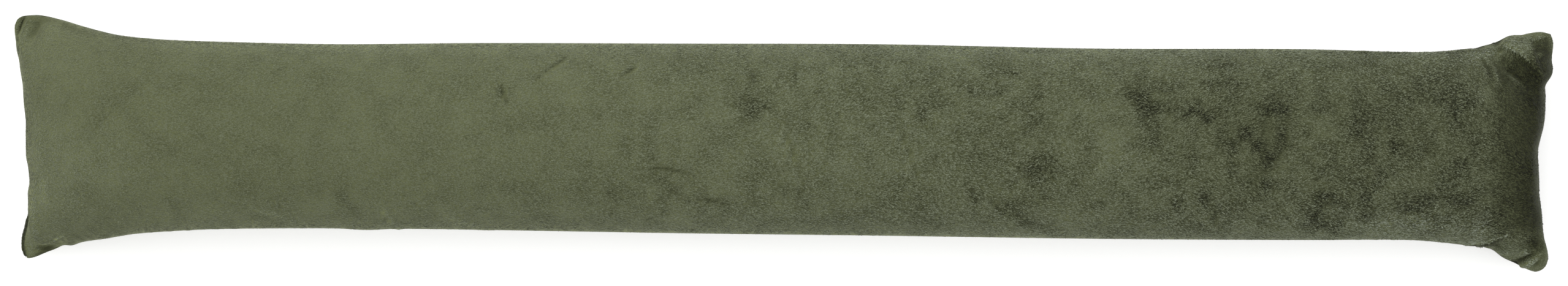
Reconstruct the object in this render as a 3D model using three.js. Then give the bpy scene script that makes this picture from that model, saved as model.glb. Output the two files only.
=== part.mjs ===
// A draught excluder: a long filled cushion of plush, sewn all round from a front and a back panel.
// It lies on its back panel. Millimetres, +Z up, with the origin on the surface that it lies on, under the
// middle of its outline. The far side is +Y and the near side is -Y.

import * as THREE from "three";

// The filled tube between its two end seams
const LENGTH = 900; // between the furthest points of the two end seams
const CROWN = 38; // rise of the front panel above the long seams where the tube is full
const BELLY = 42; // drop of the back panel below them, before the surface flattens it
const END_REACH = 105; // from an end seam to where the tube is full
const END_ROUNDNESS = 2.3; // how soon the tube fills behind an end seam
const SHARP_SECTION = 0.9; // section exponent at an end seam, where the panels meet in an edge
const ROUND_SECTION = 0.5; // section exponent of the full tube, an ellipse
const THINNEST = 1.6; // the two panels and their piles, pressed together

// The mesh of each panel
const COLUMNS = 88;
const ROWS = 18;
const END_GRADING = 0.72; // how much closer the columns stand near the ends
const EDGE_GRADING = 0.8; // how much closer the rows stand near the long seams

// Sections across the tube: place along it, reach of the far and near seams from the middle line,
// height of the two seams, and how full the tube is
const SECTIONS = [
  { x: -446, far: 68.0, near: 73.4, farHeight: 25, nearHeight: 15, fill: 1.0 },
  { x: -436, far: 68.4, near: 72.3, farHeight: 25, nearHeight: 16, fill: 1.0 },
  { x: -424, far: 66.6, near: 67.6, farHeight: 26, nearHeight: 19, fill: 1.0 },
  { x: -410, far: 62.5, near: 63.9, farHeight: 28, nearHeight: 23, fill: 1.0 },
  { x: -390, far: 57.8, near: 60.2, farHeight: 31, nearHeight: 28, fill: 1.0 },
  { x: -365, far: 55.4, near: 57.6, farHeight: 34, nearHeight: 33, fill: 1.0 },
  { x: -330, far: 54.3, near: 55.5, farHeight: 36, nearHeight: 36, fill: 0.97 },
  { x: -260, far: 53.5, near: 54.4, farHeight: 36, nearHeight: 36, fill: 0.96 },
  { x: -180, far: 55.0, near: 54.5, farHeight: 36, nearHeight: 36, fill: 1.0 },
  { x: -60, far: 55.8, near: 55.4, farHeight: 37, nearHeight: 36, fill: 1.02 },
  { x: 60, far: 56.5, near: 55.7, farHeight: 37, nearHeight: 37, fill: 1.03 },
  { x: 180, far: 55.2, near: 56.3, farHeight: 36, nearHeight: 37, fill: 1.0 },
  { x: 300, far: 56.0, near: 55.9, farHeight: 36, nearHeight: 36, fill: 0.98 },
  { x: 370, far: 54.9, near: 55.2, farHeight: 34, nearHeight: 33, fill: 0.99 },
  { x: 392, far: 56.2, near: 56.9, farHeight: 31, nearHeight: 29, fill: 1.0 },
  { x: 408, far: 58.8, near: 58.9, farHeight: 28, nearHeight: 24, fill: 1.0 },
  { x: 416, far: 60.6, near: 60.3, farHeight: 27, nearHeight: 22, fill: 1.0 },
  { x: 424, far: 64.8, near: 65.8, farHeight: 26, nearHeight: 19, fill: 1.0 },
  { x: 434, far: 66.6, near: 71.1, farHeight: 26, nearHeight: 16, fill: 1.0 },
  { x: 446, far: 67.5, near: 72.3, farHeight: 27, nearHeight: 15, fill: 1.0 },
];

// End seams: place across the tube, reach of each seam from the middle of the tube, and its height
const END_SEAMS = [
  { y: -73, left: 442.9, right: 443.8, leftHeight: 15, rightHeight: 15 },
  { y: -66, left: 444.9, right: 446.9, leftHeight: 16, rightHeight: 17 },
  { y: -58, left: 444.6, right: 447.2, leftHeight: 19, rightHeight: 20 },
  { y: -42, left: 441.8, right: 444.8, leftHeight: 25, rightHeight: 26 },
  { y: -30, left: 441.1, right: 442.6, leftHeight: 28, rightHeight: 29 },
  { y: -15, left: 443.1, right: 441.9, leftHeight: 31, rightHeight: 31 },
  { y: 0, left: 443.6, right: 440.9, leftHeight: 32, rightHeight: 31 },
  { y: 15, left: 444.2, right: 443.6, leftHeight: 32, rightHeight: 31 },
  { y: 30, left: 446.0, right: 444.9, leftHeight: 31, rightHeight: 30 },
  { y: 38, left: 447.7, right: 446.6, leftHeight: 30, rightHeight: 29 },
  { y: 48, left: 448.9, right: 448.7, leftHeight: 28, rightHeight: 28 },
  { y: 58, left: 450.6, right: 449.4, leftHeight: 26, rightHeight: 27 },
  { y: 68, left: 448.8, right: 448.6, leftHeight: 25, rightHeight: 27 },
];

// Folds of the front panel: the two ends of each, half its width, and its rise or fall
const FOLDS = [
  { name: "ridge of the far right ear", x: 423, y: 62, toX: 442, toY: 46, width: 7, lift: 4.0 },
  { name: "hollow beside that ridge", x: 419, y: 52, toX: 430, toY: 38, width: 8, lift: -4.5 },
  { name: "hollow of the far right tip", x: 438, y: 60, toX: 446, toY: 44, width: 5, lift: -3.0 },
  { name: "first near right fold", x: 384, y: -52, toX: 398, toY: -44, width: 6, lift: 2.5 },
  { name: "second near right fold", x: 404, y: -56, toX: 417, toY: -50, width: 5, lift: 3.0 },
  { name: "hollow behind the near right ear", x: 431, y: -64, toX: 441, toY: -55, width: 5, lift: -4.0 },
  { name: "ridge of the near right ear", x: 434, y: -69, toX: 446, toY: -62, width: 5, lift: 2.5 },
  { name: "near left valley", x: -437, y: -67, toX: -423, toY: -65, width: 5, lift: -3.5 },
  { name: "near left fold", x: -430, y: -61, toX: -419, toY: -57, width: 4, lift: 2.0 },
  { name: "far left dent", x: -440, y: 60, toX: -432, toY: 56, width: 8, lift: -3.0 },
];

const PLUSH_COLOR = 0x5e614d;
const PLUSH_ROUGHNESS = 0.95;

// A smooth value of a named column at a place along a table whose key column rises
function lookUp(table, key, column, place) {
  const last = table.length - 1;
  let row = 0;
  while (row < last - 1 && table[row + 1][key] < place) {
    row += 1;
  }
  const slopeAt = (i) => {
    const before = table[Math.max(i - 1, 0)];
    const after = table[Math.min(i + 1, last)];
    return (after[column] - before[column]) / (after[key] - before[key]);
  };
  const start = table[row];
  const end = table[row + 1];
  const span = end[key] - start[key];
  const t = THREE.MathUtils.clamp((place - start[key]) / span, 0, 1);
  const level = THREE.MathUtils.lerp(start[column], end[column], t * t * (3 - 2 * t));
  const slopes = slopeAt(row) * t * (1 - t) * (1 - t) - slopeAt(row + 1) * t * t * (1 - t);
  return level + slopes * span;
}

// A point of the far or the near seam, at a place along the tube
function longSeam(side, x) {
  const reach = lookUp(SECTIONS, "x", side, x);
  const height = lookUp(SECTIONS, "x", `${side}Height`, x);
  return new THREE.Vector3(x, side === "far" ? reach : -reach, height);
}

// A point of the left or the right end seam, at a place across the tube
function endSeam(side, y) {
  const reach = lookUp(END_SEAMS, "y", side, y);
  const height = lookUp(END_SEAMS, "y", `${side}Height`, y);
  return new THREE.Vector3(side === "right" ? reach : -reach, y, height);
}

// The surface that spans the four seams, halfway between the panels. along runs from 0 at the left end to
// 1 at the right, and across from 0 at the near seam to 1 at the far one. The long seams give its shape, and
// each end seam pulls it into its own line, which fades out over the reach of the end.
function betweenSeams(along, across) {
  const nearY = END_SEAMS[0].y;
  const farY = END_SEAMS[END_SEAMS.length - 1].y;
  const y = THREE.MathUtils.lerp(nearY, farY, across);
  const spanAt = (nearX, farX) => longSeam("near", nearX).lerp(longSeam("far", farX), across);

  const nearEnds = { left: endSeam("left", nearY).x, right: endSeam("right", nearY).x };
  const farEnds = { left: endSeam("left", farY).x, right: endSeam("right", farY).x };
  const nearX = THREE.MathUtils.lerp(nearEnds.left, nearEnds.right, along);
  const farX = THREE.MathUtils.lerp(farEnds.left, farEnds.right, along);
  const place = spanAt(nearX, farX);
  for (const side of ["left", "right"]) {
    const fromSeam = (side === "left" ? along : 1 - along) * LENGTH;
    const pull = endSeam(side, y).sub(spanAt(nearEnds[side], farEnds[side]));
    place.addScaledVector(pull, 1 - THREE.MathUtils.smoothstep(fromSeam, 0, END_REACH));
  }
  return place;
}

// How full the tube is at a distance from the nearer end seam, from 0 to 1
function fullness(fromEnd) {
  const left = 1 - Math.min(fromEnd / END_REACH, 1);
  return Math.pow(1 - Math.pow(left, END_ROUNDNESS), 1 / END_ROUNDNESS);
}

// The share of the full rise or drop, at a share of the way out from the middle line to a long seam
function bulge(fromEnd, outward) {
  const full = fullness(fromEnd);
  const exponent = THREE.MathUtils.lerp(SHARP_SECTION, ROUND_SECTION, full);
  return full * Math.pow(1 - outward * outward, exponent);
}

// The rise or fall that the folds give to the front panel at a place in plan
function foldLift(x, y) {
  const place = new THREE.Vector3(x, y, 0);
  const nearest = new THREE.Vector3();
  return FOLDS.reduce((total, fold) => {
    const start = new THREE.Vector3(fold.x, fold.y, 0);
    const end = new THREE.Vector3(fold.toX, fold.toY, 0);
    new THREE.Line3(start, end).closestPointToPoint(place, true, nearest);
    const away = nearest.distanceTo(place) / fold.width;
    return total + fold.lift * Math.exp(-away * away);
  }, 0);
}

// Places between 0 and 1, closer together near both ends
function graded(step, steps, grading) {
  const even = step / steps;
  return even - (grading * Math.sin(2 * Math.PI * even)) / (2 * Math.PI);
}

function isOnSeam(column, row) {
  return column === 0 || column === COLUMNS || row === 0 || row === ROWS;
}

// A point of the front or the back panel
function panelPoint(panel, column, row) {
  const along = graded(column, COLUMNS, END_GRADING);
  const across = graded(row, ROWS, EDGE_GRADING);
  const point = betweenSeams(along, across);
  if (isOnSeam(column, row)) {
    return point;
  }
  const fromEnd = Math.min(along, 1 - along) * LENGTH;
  const share = lookUp(SECTIONS, "x", "fill", point.x) * bulge(fromEnd, 2 * across - 1);
  if (panel === "front") {
    point.z += Math.max(CROWN * share + foldLift(point.x, point.y), THINNEST / 2);
  } else {
    point.z = Math.max(point.z - Math.max(BELLY * share, THINNEST / 2), 0);
  }
  return point;
}

// One closed body of the two panels, which share the points of the seam all round
function cushionGeometry() {
  const positions = [];
  const indices = [];
  const seamIndices = new Map();

  const addPoint = (panel, column, row) => {
    const key = `${column},${row}`;
    if (seamIndices.has(key)) {
      return seamIndices.get(key);
    }
    const index = positions.length / 3;
    positions.push(...panelPoint(panel, column, row).toArray());
    if (isOnSeam(column, row)) {
      seamIndices.set(key, index);
    }
    return index;
  };

  for (const panel of ["front", "back"]) {
    const grid = [];
    for (let column = 0; column <= COLUMNS; column += 1) {
      grid.push([]);
      for (let row = 0; row <= ROWS; row += 1) {
        grid[column].push(addPoint(panel, column, row));
      }
    }
    for (let column = 0; column < COLUMNS; column += 1) {
      for (let row = 0; row < ROWS; row += 1) {
        const a = grid[column][row];
        const b = grid[column + 1][row];
        const c = grid[column + 1][row + 1];
        const d = grid[column][row + 1];
        indices.push(...(panel === "front" ? [a, b, c, a, c, d] : [a, c, b, a, d, c]));
      }
    }
  }

  const geometry = new THREE.BufferGeometry();
  geometry.setAttribute("position", new THREE.Float32BufferAttribute(positions, 3));
  geometry.setIndex(indices);
  geometry.computeVertexNormals();
  geometry.computeBoundingBox();
  return geometry;
}

function buildCushion() {
  const geometry = cushionGeometry();
  const middle = geometry.boundingBox.getCenter(new THREE.Vector3());
  const plush = new THREE.MeshStandardMaterial({
    color: PLUSH_COLOR,
    roughness: PLUSH_ROUGHNESS,
    metalness: 0,
  });
  const cushion = new THREE.Mesh(geometry, plush);
  cushion.name = "cushion";
  cushion.position.set(-middle.x, -middle.y, 0);
  return cushion;
}

const draughtExcluder = new THREE.Group();
draughtExcluder.add(buildCushion());

export default draughtExcluder;
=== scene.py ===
"""A draught excluder: a long filled cushion of olive plush, lying on its back.

The cover is two plush panels sewn together all round, filled by Blender's cloth. Its pile is
made of tufts that lie along the nap, and the folds at its ears are pressed in one by one.
"""

import logging
import math
from dataclasses import dataclass, field
from enum import Enum
from typing import Any

import bmesh
import bpy
import numpy as np
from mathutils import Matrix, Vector
from mathutils.bvhtree import BVHTree


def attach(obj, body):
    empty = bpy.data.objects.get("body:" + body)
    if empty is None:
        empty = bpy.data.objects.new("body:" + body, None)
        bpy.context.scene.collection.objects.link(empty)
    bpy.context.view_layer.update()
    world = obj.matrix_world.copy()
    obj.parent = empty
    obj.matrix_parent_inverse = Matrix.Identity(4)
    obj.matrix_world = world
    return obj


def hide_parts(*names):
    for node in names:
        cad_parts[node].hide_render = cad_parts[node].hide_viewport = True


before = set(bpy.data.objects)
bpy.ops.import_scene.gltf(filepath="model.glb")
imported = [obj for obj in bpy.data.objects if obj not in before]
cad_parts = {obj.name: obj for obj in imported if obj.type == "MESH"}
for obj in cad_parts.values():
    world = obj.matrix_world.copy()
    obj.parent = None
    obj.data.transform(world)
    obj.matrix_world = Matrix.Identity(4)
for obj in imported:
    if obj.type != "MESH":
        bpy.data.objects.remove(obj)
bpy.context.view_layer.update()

MM = 0.001
log = logging.getLogger("draught_excluder")

Points = np.ndarray
Numbers = np.ndarray


class Panel(Enum):
    """The two panels of the cover, by the sign of the side attribute."""

    FRONT = 1
    BACK = -1


class End(Enum):
    """The two short ends of the cushion, by the sign of X."""

    LEFT = -1
    RIGHT = 1


def fade(share: Numbers) -> Numbers:
    """Eases a share from 0 to 1, level at both ends."""
    held = np.clip(share, 0.0, 1.0)
    return held * held * (3.0 - 2.0 * held)


def unit(vectors: Points) -> Points:
    """Scales each vector to a length of one."""
    return vectors / np.maximum(np.linalg.norm(vectors, axis=-1, keepdims=True), 1e-12)


def deselect_all() -> None:
    """Deselects every object, so that an operator acts only on what is chosen next."""
    bpy.ops.object.select_all(action="DESELECT")


def choose(piece: bpy.types.Object) -> None:
    """Makes one object the selected and active one."""
    deselect_all()
    piece.select_set(True)
    bpy.context.view_layer.objects.active = piece


def read(items: Any, name: str, width: int) -> Points:
    """Reads one property of a mesh's items as an array.

    Args:
        items: A collection such as a mesh's vertices.
        name: The property's name.
        width: How many numbers each item holds.

    Returns:
        An array with a row for each item.
    """
    found = np.zeros(len(items) * width, np.float32)
    items.foreach_get(name, found)
    return found.reshape(-1, width).astype(float)


def store(mesh: bpy.types.Mesh, name: str, kind: str, values: Numbers) -> None:
    """Writes a point attribute.

    Args:
        mesh: The mesh that carries the attribute.
        name: The attribute's name, which a material reads.
        kind: FLOAT, FLOAT_VECTOR or FLOAT_COLOR.
        values: A row for each vertex.
    """
    key = {"FLOAT": "value", "FLOAT_VECTOR": "vector", "FLOAT_COLOR": "color"}[kind]
    layer = mesh.attributes.get(name) or mesh.attributes.new(name, kind, "POINT")
    layer.data.foreach_set(key, np.asarray(values, np.float32).ravel())


def move(mesh: bpy.types.Mesh, places: Points) -> None:
    """Puts a mesh's vertices in new places."""
    mesh.vertices.foreach_set("co", places.astype(np.float32).ravel())
    mesh.update()


def lay_out(mesh: bpy.types.Mesh, places: Points) -> None:
    """Gives a mesh the map that its colours are baked to, a place for each corner."""
    layer = mesh.uv_layers.new(name="OFBake")
    layer.uv.foreach_set("vector", places.astype(np.float32).ravel())


def walk(line: Points, shares: Numbers) -> Points:
    """Finds the places at shares of a line's length."""
    steps = np.linalg.norm(np.diff(line, axis=0), axis=1)
    reached = np.concatenate([[0.0], np.cumsum(steps)])
    reached /= reached[-1]
    return np.stack([np.interp(shares, reached, line[:, k]) for k in range(3)], -1)


@dataclass(frozen=True)
class Ramp:
    """A soft rise from 0 to 1 past a start, or before it where the way is negative."""

    start: float
    way: float

    def at(self, values: Numbers) -> Numbers:
        """How far up the ramp each value is."""
        return fade((values - self.start) / self.way)


@dataclass(frozen=True)
class Profile:
    """A level that changes along the cushion, by its places along X in metres."""

    x: tuple[float, ...]
    levels: tuple[float, ...]

    def at(self, x: Numbers) -> Numbers:
        """The level at each place."""
        return np.interp(x, self.x, self.levels)


@dataclass(frozen=True)
class Graded:
    """A measure that grows evenly with a share, such as how ruffled the pile is."""

    base: float
    gain: float

    def at(self, share: Numbers) -> Numbers:
        """The measure at each share."""
        return self.base + self.gain * share


@dataclass
class Spots:
    """Points of the cover, a row for each.

    Args:
        places: Where they are, in metres.
        normals: Which way the cloth faces there.
        cloth: Where they lie on their panel, in metres from its middle, and the panel's sign.
    """

    places: Points
    normals: Points
    cloth: Points

    @classmethod
    def of(cls, mesh: bpy.types.Mesh) -> "Spots":
        """Reads the cover's vertices."""
        cloth = read(mesh.attributes["cloth"].data, "vector", 3)
        return cls(read(mesh.vertices, "co", 3), read(mesh.vertex_normals, "vector", 3), cloth)

    def mixed(self, corners: Points, weights: Points) -> "Spots":
        """Mixes points, each from three others by their weights."""
        places, normals, cloth = (
            (values[corners] * weights[:, :, None]).sum(1)
            for values in (self.places, self.normals, self.cloth)
        )
        return Spots(places, unit(normals), cloth)

    @property
    def x(self) -> Numbers:
        """How far along the cushion they are."""
        return self.places[:, 0]

    @property
    def plan(self) -> Points:
        """Where they are, seen from above."""
        return self.places[:, :2]

    @property
    def front(self) -> Numbers:
        """How far they belong to the front panel, from 0 to 1."""
        return fade(self.cloth[:, 2])


FOLD_STEPS = 25


@dataclass(frozen=True)
class Fold:
    """A ridge or trough pressed into the front panel along a curve of three points, in mm, with its
    light and shade painted on the cloth.

    The lee side lies to the right of the way from the first point to the last. Where it has
    a width of its own, the cloth turns sharply from one side of the line to the other, and its
    painted shade changes as sharply.
    """

    x: float
    y: float
    via_x: float
    via_y: float
    to_x: float
    to_y: float
    width: float
    lift: float
    # Painted light where positive, painted shade where negative; the lee side has its own
    shade: float
    lee_width: float = 0.0
    lee_shade: float = 0.0

    def felt(self, plan: Points) -> Points:
        """Says how the fold changes the cloth.

        Args:
            plan: Places seen from above, in metres.

        Returns:
            For each place, the lift in metres and the change of lightness that paints the fold's
            light and shade.
        """
        start, via, end = (np.array(corner) * MM for corner in self._corners())
        share = np.linspace(0.0, 1.0, FOLD_STEPS)[:, None]
        line = (1 - share) ** 2 * start + 2 * share * (1 - share) * via + share**2 * end
        middle = line.mean(0)
        widest = max(self.width, self.lee_width)
        reach = np.linalg.norm(line - middle, axis=1).max() + 1.5 * widest * MM
        found = np.zeros((len(plan), 2))
        near = np.flatnonzero(np.linalg.norm(plan - middle, axis=1) < reach)
        if not len(near):
            return found
        offset = plan[near, None, :] - line[None]
        apart = np.linalg.norm(offset, axis=2)
        closest = apart.argmin(1)
        pick = np.arange(len(near))
        away = offset[pick, closest]
        onwards = unit(np.gradient(line, axis=0))[closest]
        turned = onwards[:, 0] * away[:, 1] - onwards[:, 1] * away[:, 0]
        lee = fade(0.5 - turned / MM) if self.lee_width else np.zeros(len(near))
        taper = np.sin(np.pi * np.linspace(0.1, 0.9, len(line)))[closest]
        distance = apart[pick, closest] / MM
        main = taper * np.exp(-((distance / (0.5 * self.width)) ** 2))
        beyond = taper * np.exp(-((distance / (0.5 * (self.lee_width or self.width))) ** 2))
        sharp = taper * np.exp(-((distance / (0.25 * self.width)) ** 2))
        found[near, 0] = self.lift * MM * (main * (1 - lee) + sharp * lee)
        found[near, 1] = self.shade * main * (1 - lee) + self.lee_shade * beyond * lee
        return found

    def _corners(self) -> list[tuple[float, float]]:
        """The start, the control point and the end of the curve."""
        control_x = 2 * self.via_x - (self.x + self.to_x) / 2
        control_y = 2 * self.via_y - (self.y + self.to_y) / 2
        return [(self.x, self.y), (control_x, control_y), (self.to_x, self.to_y)]


# Folds of the front panel, in mm: lift is above or, where negative, below the cloth; shade is
# painted light or, where negative, painted shade
FOLDS = {
    "far right ridge": Fold(421.9, 60.5, 432.3, 53.8, 441.7, 42.8, 3.6, 3.4, 1.0, 8.0, -0.32),
    "far right flank edge": Fold(440.6, 48.2, 436.4, 56.7, 435.4, 65.3, 5.0, 2.0, 0.14, 10.0, -0.55),
    "far right brow": Fold(437.2, 64.3, 442.2, 66.5, 447.6, 66.2, 6.0, 1.2, 0.3, 4.0, -0.3),
    "far right stroke": Fold(438.0, 55.7, 440.2, 56.4, 442.3, 57.2, 2.4, 0.8, 2.6),
    "far right hollow": Fold(416.9, 54.4, 425.9, 47.3, 436.8, 37.4, 14.0, -3.4, -0.14),
    "far right dark stroke": Fold(421.3, 48.3, 425.9, 44.8, 431.7, 40.6, 2.4, -1.1, -0.6),
    "far right light stroke": Fold(420.2, 45.8, 424.5, 41.9, 430.0, 37.7, 2.6, 1.0, 1.5),
    "far right light line": Fold(411.9, 52.9, 413.4, 45.8, 412.7, 38.2, 2.4, 0.7, 0.7),
    "far right gather": Fold(404.7, 54.6, 408.7, 49.3, 411.3, 41.4, 2.4, -1.4, -0.34),
    "far right pinch": Fold(416.5, 58.3, 418.3, 59.4, 420.1, 58.4, 3.2, -1.1, -0.5),
    "far right second gather": Fold(410.8, 53.6, 415.5, 47.9, 417.4, 40.1, 3.2, -1.0, -0.26),
    "far right tuck": Fold(414.3, 61.0, 417.5, 62.7, 420.7, 64.8, 2.2, -1.4, -0.7),
    "far right first tuck": Fold(404.3, 58.8, 407.2, 59.7, 410.0, 60.6, 2.0, -1.0, -0.62),
    "near right tuck": Fold(400.0, -55.5, 410.4, -54.3, 422.2, -49.6, 3.2, 2.4, 0.58, 6.0, -0.86),
    "near right shelf": Fold(416.1, -55.0, 419.0, -56.0, 421.9, -57.1, 3.0, -1.0, -0.34),
    "near right light rim": Fold(418.3, -60.0, 424.8, -59.9, 431.2, -59.2, 2.4, 0.4, 0.22),
    "near right valley": Fold(429.2, -66.3, 434.5, -64.0, 440.6, -59.1, 3.4, -2.8, -0.74),
    "near right hollow": Fold(436.9, -49.4, 439.8, -53.7, 442.0, -58.0, 8.0, -1.4, -0.66),
    "near right ridge": Fold(434.2, -68.1, 438.8, -65.2, 443.1, -61.2, 2.8, 2.2, 0.95),
    "near right cheek": Fold(432.0, -60.2, 434.5, -59.7, 437.0, -59.5, 3.4, 1.0, 0.9),
    "near right nick": Fold(441.7, -67.3, 442.4, -65.9, 443.5, -64.4, 2.0, -0.8, -0.5),
    "right end hollow": Fold(436.8, -35.4, 437.6, -43.7, 438.7, -50.1, 4.4, -1.2, -0.2),
    "right end lip": Fold(441.3, -26.4, 442.9, -37.2, 444.4, -50.1, 3.0, 0.7, 0.15),
    "right end rim": Fold(440.0, 38.8, 440.5, 23.8, 439.6, 7.3, 6.0, -0.3, -0.28),
    "near left crease": Fold(-430.2, -63.1, -425.9, -60.9, -420.6, -58.4, 1.4, 1.5, 1.8, 2.6, -0.24),
    "near left fine crease": Fold(-435.2, -64.2, -433.1, -63.5, -430.9, -63.1, 1.4, 0.4, 0.44),
    "near left pocket": Fold(-438.8, -65.3, -433.0, -65.8, -426.6, -64.9, 3.7, -3.2, -0.64),
    "near left hem": Fold(-440.5, -70.4, -436.6, -69.3, -431.6, -67.4, 3.0, -1.2, -0.5),
    "near left second hem": Fold(-420.9, -63.0, -417.3, -62.6, -413.7, -61.7, 2.6, -0.8, -0.48),
    "near left strip": Fold(-437.4, -27.7, -438.3, -45.6, -439.5, -64.3, 5.0, 1.2, 0.42),
    "far left hollow": Fold(-435.8, 66.7, -438.6, 62.0, -441.4, 56.9, 6.6, -2.4, -0.4),
    "far left brow": Fold(-445.4, 67.7, -437.9, 66.7, -429.3, 68.2, 3.8, -0.8, -0.28),
    "far left rim": Fold(-446.6, 70.9, -437.9, 71.3, -426.4, 68.9, 4.0, -0.4, -0.3),
    "far left second rim": Fold(-428.6, 68.9, -421.4, 66.5, -414.2, 64.0, 4.0, -0.4, -0.26),
    "far left side": Fold(-423.5, 65.0, -414.9, 62.2, -404.8, 58.7, 4.0, -0.7, -0.14),
    "far left gap": Fold(-445.1, 70.5, -447.2, 65.5, -448.4, 59.7, 2.2, -1.8, -0.92),
    "far left dash": Fold(-448.4, 57.6, -448.3, 56.2, -448.1, 55.1, 1.4, -0.6, -0.8),
    "far left long dash": Fold(-448.0, 52.9, -447.6, 50.4, -447.2, 47.9, 1.5, -0.6, -0.8),
    "left end line": Fold(-444.0, 11.7, -442.9, 7.4, -442.3, 3.1, 1.4, -0.5, -0.6),
    "left of middle curve": Fold(-232.1, -39.0, -227.7, -46.1, -221.9, -55.0, 1.5, 0.8, 0.34),
    "left lower streak": Fold(-305.2, -41.8, -296.2, -44.2, -284.0, -48.8, 3.0, 0.5, 0.26),
    "second lower streak": Fold(-195.1, -44.7, -183.2, -48.2, -169.9, -52.0, 3.4, 0.6, 0.3),
    "first nick": Fold(-163.2, 32.3, -162.4, 27.3, -159.2, 21.6, 2.4, -0.9, -0.56),
    "slanted crease": Fold(-137.5, 40.5, -131.4, 45.2, -125.7, 49.2, 2.4, -0.9, -0.42),
    "short crease": Fold(-93.3, 38.8, -89.4, 41.3, -85.5, 44.6, 2.4, -0.9, -0.5),
    "middle crease": Fold(-78.5, -15.6, -66.3, -15.5, -51.9, -18.6, 2.4, -0.9, -0.44),
    "second middle crease": Fold(-47.5, -31.8, -41.7, -33.2, -35.2, -34.9, 2.4, -0.9, -0.5),
    "first long streak": Fold(-5.6, 12.3, 2.8, -1.9, 9.1, -22.0, 6.0, -0.8, -0.24, 5.0, 0.12),
    "second long streak": Fold(61.1, 13.0, 69.2, -1.3, 75.8, -21.3, 6.0, -0.8, -0.24, 5.0, 0.12),
    "right curl": Fold(119.3, -30.2, 125.5, -37.3, 134.8, -40.8, 2.6, -0.9, -0.5),
    "right upright crease": Fold(248.8, -34.7, 249.6, -40.8, 252.9, -46.9, 2.4, -0.9, -0.5),
    "right long streak": Fold(281.2, 26.6, 275.7, 0.7, 268.8, -26.6, 8.0, -1.0, -0.26),
    "right second streak": Fold(289.2, 18.7, 287.2, 3.7, 283.7, -10.7, 4.0, -0.6, -0.24),
    "right lower crease": Fold(258.5, -36.4, 274.7, -42.4, 290.9, -45.8, 3.6, -0.9, -0.18),
    "right upper crease": Fold(279.1, 61.5, 283.7, 62.8, 288.0, 63.2, 2.4, -0.9, -0.42),
}


def folded(plan: Points) -> Points:
    """How all folds together lift the cloth and paint light and shade on it at each place."""
    return sum(fold.felt(plan) for fold in FOLDS.values())


@dataclass(frozen=True)
class Tug:
    """A small pull on the outline, in mm."""

    x: float
    y: float
    reach: float
    along: float
    across: float

    def pull(self, plan: Points) -> Points:
        """How far each place is pulled along the cushion and across it, in metres."""
        apart = np.linalg.norm(plan - np.array([self.x, self.y]) * MM, axis=1)
        felt = np.exp(-((apart / (self.reach * MM)) ** 2))[:, None]
        return felt * np.array([self.along, self.across]) * MM


# Each row: x, y, reach, along, across
TUGS = [Tug(*row) for row in (
    (-441.3, -67.9, 8.0, -1.9, -1.9),
    (-443.2, -59.3, 8.0, -1.2, 0.0),
    (-433.0, -68.2, 5.0, 0.0, 0.7),
    (-417.3, -62.6, 4.5, 0.0, -0.9),
    (-422.3, -63.7, 4.0, 0.0, 0.9),
    (-439.8, -38.5, 7.0, -0.9, 0.0),
    (-441.3, -32.0, 4.0, -1.0, 0.0),
    (-447.9, 64.0, 8.0, -1.5, 0.7),
    (-437.9, 69.9, 9.0, 0.0, 0.9),
    (448.7, 64.0, 8.0, 1.3, 0.0),
    (448.0, 69.0, 3.4, -0.8, -1.0),
    (448.5, 45.7, 6.0, 2.1, 0.0),
    (446.1, 38.2, 4.0, -0.9, 0.0),
    (444.1, 18.4, 13.0, 1.6, 0.0),
    (432.2, 67.8, 4.0, 0.0, -0.9),
    (404.6, 59.3, 4.0, 0.0, -0.8),
    (446.0, -66.5, 7.0, 3.0, -0.8),
    (447.7, -58.6, 7.0, 1.6, 0.0),
    (432.1, -68.1, 8.0, 0.4, 1.5),
    (417.6, -58.2, 4.5, 0.0, 0.6),
    (407.9, -57.2, 3.6, 0.0, 1.1),
    (405.4, -56.2, 5.0, 0.0, 1.3),
    (-242.4, -50.9, 12.0, 0.0, -0.9),
    (442.1, -68.7, 6.0, 0.0, -1.0),
    (-447.8, 50.4, 5.0, -1.1, 0.0),
    (-395.8, -58.8, 12.0, 0.0, -0.8),
)]


@dataclass(frozen=True)
class Bruise:
    """A soft patch where the pile is crushed and looks darker, in mm and degrees."""

    x: float
    y: float
    long: float
    broad: float
    turn: float
    depth: float

    def closeness(self, plan: Points) -> Numbers:
        """Says how deep in the patch each place lies, from 0 to 1."""
        turn = math.radians(self.turn)
        away = plan - np.array([self.x, self.y]) * MM
        along = away @ np.array([math.cos(turn), math.sin(turn)]) / (self.long * MM)
        across = away @ np.array([-math.sin(turn), math.cos(turn)]) / (self.broad * MM)
        return np.exp(-(along**2 + across**2))


@dataclass(frozen=True)
class Patch(Bruise):
    """A patch with a firmer edge, lighter or, where negative, darker: painted light and shade,
    chiefly on the ears' folds, and lighter or darker cloth elsewhere.
    """

    def closeness(self, plan: Points) -> Numbers:
        """Says how deep in the patch each place lies, from 0 to 1."""
        soft = super().closeness(plan)
        return np.exp(-((-np.log(np.maximum(soft, 1e-12))) ** 1.5))
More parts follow.
